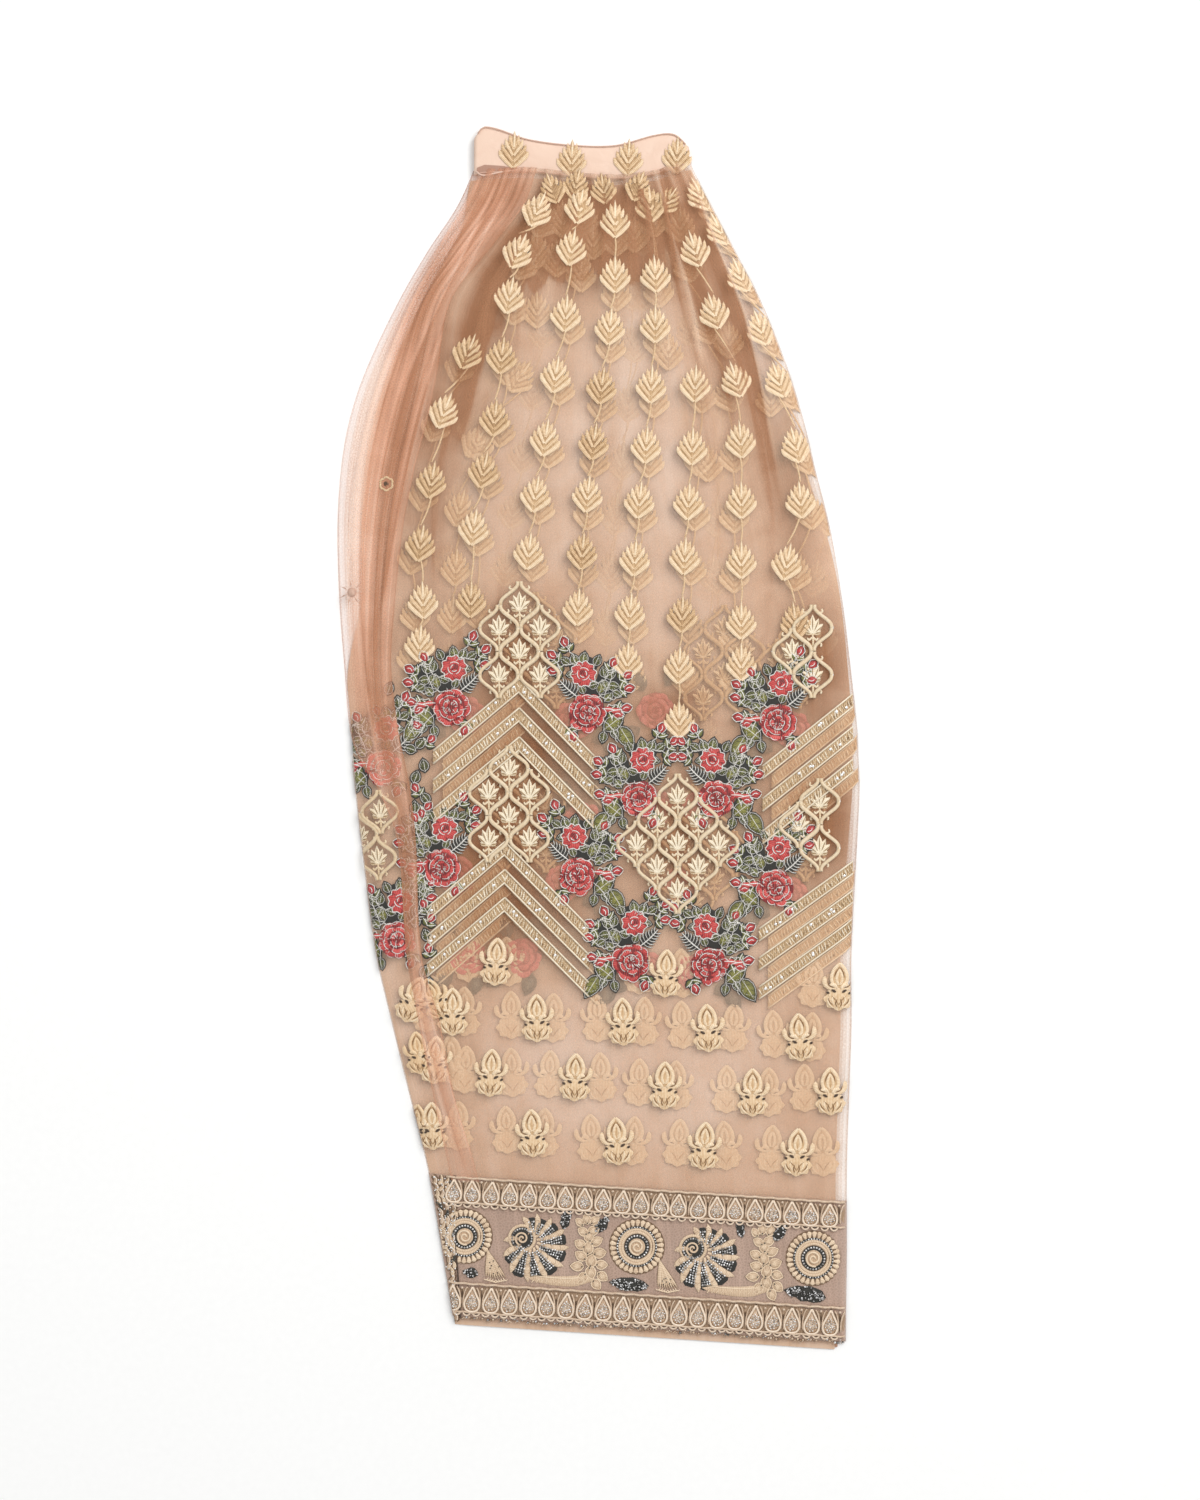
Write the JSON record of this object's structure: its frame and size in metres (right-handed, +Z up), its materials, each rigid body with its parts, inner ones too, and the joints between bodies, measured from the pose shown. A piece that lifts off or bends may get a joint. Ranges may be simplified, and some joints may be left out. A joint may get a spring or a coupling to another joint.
{
  "type": "farshi shalwar",
  "caption": "Wide-legged sheer net farshi shalwar with embroidered legs, a satin waistband and a deep worked hem, folded leg on leg and laid flat.",
  "frame": {"origin": "middle of the folded garment's width and length, on the surface that it lies on", "axes": "+X across to the side fold on the right of the picture, +Y up the leg to the waistband, +Z up from the surface"},
  "size_m": [0.4498, 1.0484, 0.0204],
  "materials": {
    "embroidered_net": "fine net covered with gold and rose thread work",
    "gusset_net": "plain salmon net, very sheer",
    "hidden_net": "three layers of the same net seen through the top one",
    "waist_satin": "pale pink satin with a soft sheen",
    "border_net": "net backed with dense beige and silver thread work",
    "trim_cord": "teardrop trim of beige and silver cord",
    "gold_cord": "twisted pale gold cord",
    "metallic_strip": "narrow woven metallic ribbon with a zigzag stitch",
    "rose_thread": "satin-stitch roses with green leaves and silver outlines"
  },
  "bodies": {
    "root": {"near_leg": "embroidered_net", "crotch_panel": "gusset_net", "under_layers": "hidden_net", "waistband": "waist_satin", "hem_border": "border_net", "hem_trim_upper": "trim_cord", "hem_trim_lower": "trim_cord", "far_hem": "border_net", "bouquet_1": "rose_thread", "bouquet_2": "rose_thread", "bouquet_3": "rose_thread", "bouquet_4": "rose_thread", "bouquet_5": "rose_thread", "bouquet_6": "rose_thread", "bouquet_7": "rose_thread", "bouquet_8": "rose_thread", "bouquet_9": "rose_thread", "bouquet_10": "rose_thread", "bouquet_11": "rose_thread", "bouquet_12": "rose_thread", "gota_strip_1": "metallic_strip", "gota_strip_2": "metallic_strip", "gota_strip_3": "metallic_strip", "gota_strip_4": "metallic_strip", "gota_strip_5": "metallic_strip", "gota_strip_6": "metallic_strip", "gota_strip_7": "metallic_strip", "gota_strip_8": "metallic_strip", "gota_strip_9": "metallic_strip", "gota_strip_10": "metallic_strip", "gota_strip_11": "metallic_strip", "gota_strip_12": "metallic_strip", "lattice_left_upper": "gold_cord", "lattice_left_lower": "gold_cord", "lattice_centre": "gold_cord", "lattice_right_upper": "gold_cord", "lattice_right_lower": "gold_cord"}
  },
  "joints": []
}
